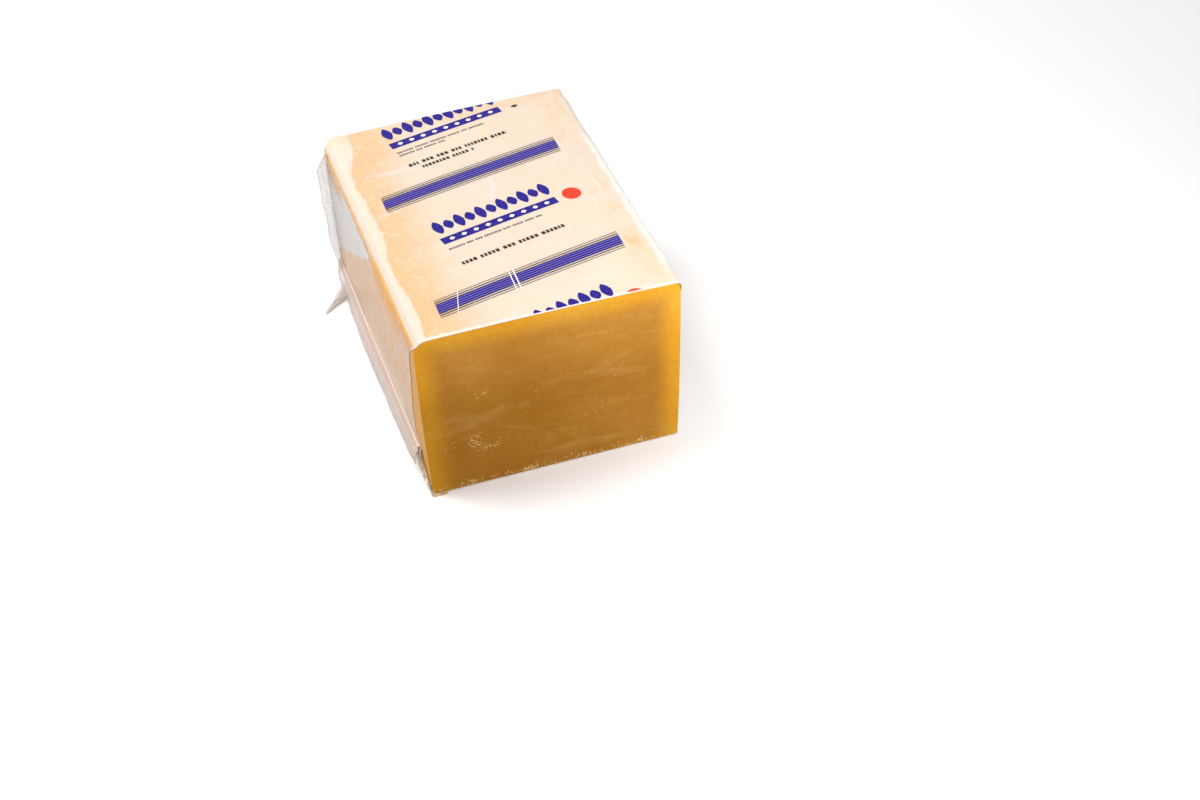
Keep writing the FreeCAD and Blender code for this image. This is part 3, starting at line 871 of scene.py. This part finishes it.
def build_ear(name, side, tip_inset):
    """A corner of the seam folded down, a creased flap that ends in a point on the ground."""
    root_far, root_near, reach = 15.0, 1.0, 18.0
    tip = np.array([side * (HALF + reach), LENGTH - tip_inset, 0.45])
    along, across = 26, 12
    points, veil = [], []
    for i in range(along + 1):
        s = i / along
        for j in range(across + 1):
            t = j / across
            root_y = LENGTH - root_far + (root_far - root_near) * t
            hump = math.sin(math.pi * t)
            root = np.array([side * (HALF + side_out(3.0) + 0.1), root_y,
                             1.2 + 6.0 * hump * (0.6 + 0.4 * t)])
            end = tip + np.array([0.0, 1.6 * (t - 0.5), 0.0])
            place = root * (1 - s) + end * s
            ripple = noise.fractal(Vector((s * 3.1, t * 5.0, side * 9.0)), 1.0, 2.0, 2)
            place[2] = max(place[2] + 1.1 * ripple * (1 - s) + 0.25 * hump * s, 0.45)
            place[2] -= 3.2 * hump * s * (1 - s) * (place[2] > 3.2)
            points.append(place)
            fold = max(0.0, 1 - abs(t - 0.35 - 0.1 * s) / 0.08, 1 - abs(t - 0.7) / 0.06)
            edge = 1.0 if j in (0, across) or i == along else 0.0
            veil.append(min(0.9, 0.30 + 0.25 * fold + 0.4 * edge + 0.15 * ripple))
    faces = sheet_faces(along + 1, across + 1)
    if side > 0:
        faces = [face[::-1] for face in faces]
    points = np.array(points)
    points[:, 1] += SKEW * side
    film_sheet(name, points - [0, 0, FLOOR_Z], faces, SEALED, veil, 0.25, 0.4, 0.3)


def build_pleat(name, side, reach, seed):
    """Film gathered beside a back corner into a standing ridge, two layers thick."""
    low, high, inset = 8.0, HEIGHT - 2.5, 7.0
    up, out = 64, 9
    points, veil = [], []
    for i in range(up + 1):
        s = i / up
        z = low + (high - low) * s
        body = min(1.0, (1 - s) * 9) ** 0.6 * min(1.0, s * 2.5) ** 0.8
        wobble = noise.fractal(Vector((z / 19, seed, 0.3)), 1.0, 2.0, 3)
        nick = noise.fractal(Vector((z / 5.5, seed, 7.3)), 1.0, 2.0, 2)
        for j in range(out + 1):
            t = j / out
            o = t * reach * body * (1 + 0.16 * wobble + 0.03 * nick) - 0.4 * (1 - t)
            bend = 1.6 * wobble * t + 0.25 * nick * t - 2.0 * t * t
            y = LENGTH - inset + bend
            points.append((side * (HALF + side_out(z) + FILM_GROW + max(o, 0.15) * (t > 0)), y, z))
            crease = max(0.0, 1 - abs(j - 4 - 2 * wobble) / 0.8, 1 - (out - j) / 0.8)
            veil.append(min(0.8, 0.27 + 0.04 * abs(nick) + 0.16 * crease))
    faces = sheet_faces(up + 1, out + 1)
    points = np.array(points)
    points[:, 1] += SKEW * side
    film_sheet(name, points, faces, PLEATED, veil, 0.1, 0.3, 0.2)


def build_tear():
    """Frayed ribbons of film at the seam's torn end, one of them down to the front corner."""
    across = 4
    points, veil, warm, faces = [], [], [], []
    for start, end, wide, proud, seed, along in RIBBONS:
        base = len(points)
        for i in range(along + 1):
            s = i / along
            y, z = (a + (b - a) * s for a, b in zip(start, end))
            z -= 1.6 * math.sin(math.pi * s)
            for j in range(across + 1):
                t = j / across - 0.5
                fray = noise.fractal(Vector((s * 5, j * 0.8, seed)), 1.0, 2.0, 2)
                ruffle = noise.fractal(Vector((s * 5, j * 0.6, seed + 3)), 1.0, 2.0, 2)
                broad = wide * (1 - 0.5 * s) * (0.35 + 0.65 * math.sin(math.pi * min(1, s + 0.3)))
                out = 0.6 + proud * math.sin(math.pi * s) * (0.5 + t) + 1.0 * abs(ruffle)
                points.append((-HALF - side_out(z) - out, y + 1.1 * fray + 0.5 * t * broad,
                               max(z + t * broad + 1.2 * ruffle, 0.5)))
                veil.append(min(0.9, 0.28 + 0.3 * abs(fray) + 0.6 * abs(t)))
                warm.append(min(1.0, 0.50 - 0.6 * abs(ruffle)))
        faces += sheet_faces(along + 1, across + 1, base)
    film_sheet("pouch_tear", points, faces, TORN_LIGHTENED, veil, warm, 0.4, 0.12)


build_flange()
build_tear()
build_ear("pouch_ear_left", -1, 26.0)
build_ear("pouch_ear_right", 1, 15.0)
build_pleat("pouch_pleat_left", -1, 6.2, 2.0)
build_pleat("pouch_pleat_right", 1, 4.6, 5.0)

# ------------------------------ crumbs

cheese_tree = BVHTree.FromObject(cheese, bpy.context.evaluated_depsgraph_get())
# clusters on the cut: x, height, width, height of the cluster, how many
CLUSTERS = [(-44, 32, 5, 1.8, 20), (-42, 27, 6, 3.5, 44), (-38, 22.5, 4, 1.6, 22),
            (-31, 24, 4, 2.5, 16), (-37, 60, 5, 3, 18), (-55, 30, 7, 4, 8),
            (20, 30, 18, 8, 16), (38, 52, 12, 10, 8), (-8, 42, 14, 9, 10)]
STRAY, AT_FOOT, ON_FLOOR, ON_SIDE = 40, 330, 46, 60  # how many crumbs lie elsewhere


def crumb_shape():
    """A small lumpy ball of unit size."""
    rows, turns = 4, 6
    points = [(0, 0, -1)]
    for r in range(1, rows):
        a = -math.pi / 2 + math.pi * r / rows
        for k in range(turns):
            b = 2 * math.pi * (k + 0.5 * (r % 2)) / turns
            points.append((math.cos(a) * math.cos(b), math.cos(a) * math.sin(b), math.sin(a)))
    points.append((0, 0, 1))
    faces = []
    for k in range(turns):
        n = (k + 1) % turns
        faces.append([0, 1 + n, 1 + k])
        for r in range(rows - 2):
            base = 1 + r * turns
            faces.append([base + k, base + n, base + turns + n, base + turns + k])
        top = 1 + (rows - 2) * turns
        faces.append([top + k, top + n, len(points) - 1])
    return np.array(points, float), faces


def build_crumbs():
    """Crumbs and shavings that the knife left on the cut face and along its foot."""
    ball, ball_faces = crumb_shape()
    points, faces = [], []

    def add(place, normal, size, long, turn):
        normal = np.array(normal) / np.linalg.norm(normal)
        side = np.cross(normal, [1.0, 0.0, 0.0] if normal[2] > 0.9 else [0.0, 0.0, 1.0])
        side /= np.linalg.norm(side)
        up = np.cross(side, normal)
        a = side * math.cos(turn) + up * math.sin(turn)
        b = np.cross(normal, a)
        lumps = np.array([dice.uniform(0.7, 1.15) for _ in ball])[:, None]
        shape = ball * lumps * [size * long, size, size * 0.55]
        base = len(points)
        for p in shape:
            points.append(place + a * p[0] + b * p[1] + normal * p[2])
        for face in ball_faces:
            faces.append([base + k for k in face])

    def touch(place, heading):
        """Where a ray from a block place meets the cheese, in millimetres, and the normal."""
        hit, normal, _, _ = cheese_tree.ray_cast(Vector(to_frame(place)) * MM, Vector(heading))
        return None if hit is None else np.array(hit) / MM, normal

    def on_front(x, z, size, long=1.0, turn=0.0):
        hit, normal = touch([x, -20.0, z], (0, 1, 0))
        if hit is not None:
            add(hit, normal, size, long, turn)

    for x, z, wide, high, count in CLUSTERS:
        for _ in range(count):
            on_front(dice.gauss(x, wide / 2), dice.gauss(z, high / 2),
                     dice.choice((0.10, 0.13, 0.17, 0.24)), dice.choice((1.2, 2.0, 3.2, 5.5)),
                     dice.uniform(0.2, 1.2))
    for _ in range(STRAY):
        on_front(dice.uniform(-64, 64), dice.uniform(4, 92), dice.uniform(0.08, 0.17))
    for _ in range(AT_FOOT):
        x = dice.uniform(-66, 66)
        x += 4 * math.sin(x / 5.0)
        on_front(x, abs(dice.gauss(0, 1.5)) + 0.6, dice.choice((0.14, 0.2, 0.3, 0.45)),
                 dice.uniform(1.0, 2.0), dice.uniform(0, 3.1))
    for _ in range(ON_FLOOR):
        size = dice.choice((0.2, 0.3, 0.45))
        place = to_frame([dice.uniform(-69, -60), -dice.uniform(0.4, 2.2), 0.0])
        place[2] = size * 0.7
        add(place, (0.0, 0.0, 1.0), size, dice.uniform(1, 1.7), dice.uniform(0, 3.1))
    for _ in range(ON_SIDE):
        y, z = dice.uniform(1, 20), dice.uniform(1, 22)
        hit, normal = touch([-HALF - 12, y, z], (1, 0, 0))
        if hit is not None:
            add(hit, normal, dice.choice((0.14, 0.2, 0.3)), dice.uniform(1, 1.8),
                dice.uniform(0, 3.1))
    make_piece("crumbs", np.array(points), faces, CRUMB)


build_crumbs()

# ------------------------------ floor, light and camera

def build_stage():
    """A pale floor, which throws less light up than the camera sees on it."""
    material, tree, output = new_material("studio_floor")
    colour = mix_colour(tree, seen_directly(tree), (0.32, 0.32, 0.32), (0.95, 0.95, 0.95))
    plug(tree, output.inputs["Surface"], principled(tree, colour, 0.9, 0.0))
    mesh = bpy.data.meshes.new("floor")
    size = 6.0
    mesh.from_pydata([(-size, -size, 0), (size, -size, 0), (size, size, 0), (-size, size, 0)],
                     [], [(0, 1, 2, 3)])
    mesh.materials.append(material)
    floor = bpy.data.objects.new("floor", mesh)
    bpy.context.scene.collection.objects.link(floor)


def add_lamp(name, place, target, size, power):
    data = bpy.data.lights.new(name, "AREA")
    data.shape = "DISK"
    data.size = size
    data.energy = power
    lamp = bpy.data.objects.new(name, data)
    lamp.location = place
    lamp.rotation_euler = (Vector(target) - Vector(place)).to_track_quat("-Z", "Y").to_euler()
    bpy.context.scene.collection.objects.link(lamp)


def build_light():
    """A large lamp behind on the left, a small one near on the right, and an even world."""
    world = bpy.data.worlds.new("studio")
    bpy.context.scene.world = world
    world.use_nodes = True
    tree = world.node_tree
    tree.nodes.clear()
    output = tree.nodes.new("ShaderNodeOutputWorld")
    dim, white = (node(tree, "ShaderNodeBackground", Color=(1, 1, 1),
                       Strength=strength).outputs[0] for strength in (0.45, 1.0))
    both = node(tree, "ShaderNodeMixShader", _0=seen_directly(tree), _1=dim, _2=white)
    plug(tree, output.inputs["Surface"], both.outputs[0])
    add_lamp("key", (-0.72, 0.52, 1.26), (0, 0, 0.05), 1.1, 23.6)
    add_lamp("near_right", (0.23, -0.30, 0.22), (0.05, -0.10, 0.08), 0.16, 1.0)


def build_camera():
    lens, sensor = 60.0, 36.0  # millimetres
    turned_right, tipped_down, rolled = (math.radians(a) for a in (18.3, 41.30, -1.47))
    data = bpy.data.cameras.new("camera")
    data.lens = lens
    data.sensor_width = sensor
    camera = bpy.data.objects.new("camera", data)
    turn = (Matrix.Rotation(-turned_right, 4, "Z")
            @ Matrix.Rotation(math.radians(90) - tipped_down, 4, "X")
            @ Matrix.Rotation(rolled, 4, "Z"))
    # metres from the middle of the cut's foot
    place = Vector((-0.2209, FOOT_Y * MM - 0.7426, FLOOR_Z * MM + 0.7240))
    camera.matrix_world = Matrix.Translation(place) @ turn
    bpy.context.scene.collection.objects.link(camera)
    bpy.context.scene.camera = camera


build_stage()
build_light()
build_camera()
bpy.context.scene.view_settings.view_transform = "Standard"
bpy.context.scene.cycles.transparent_max_bounces = 24

bpy.context.view_layer.update()
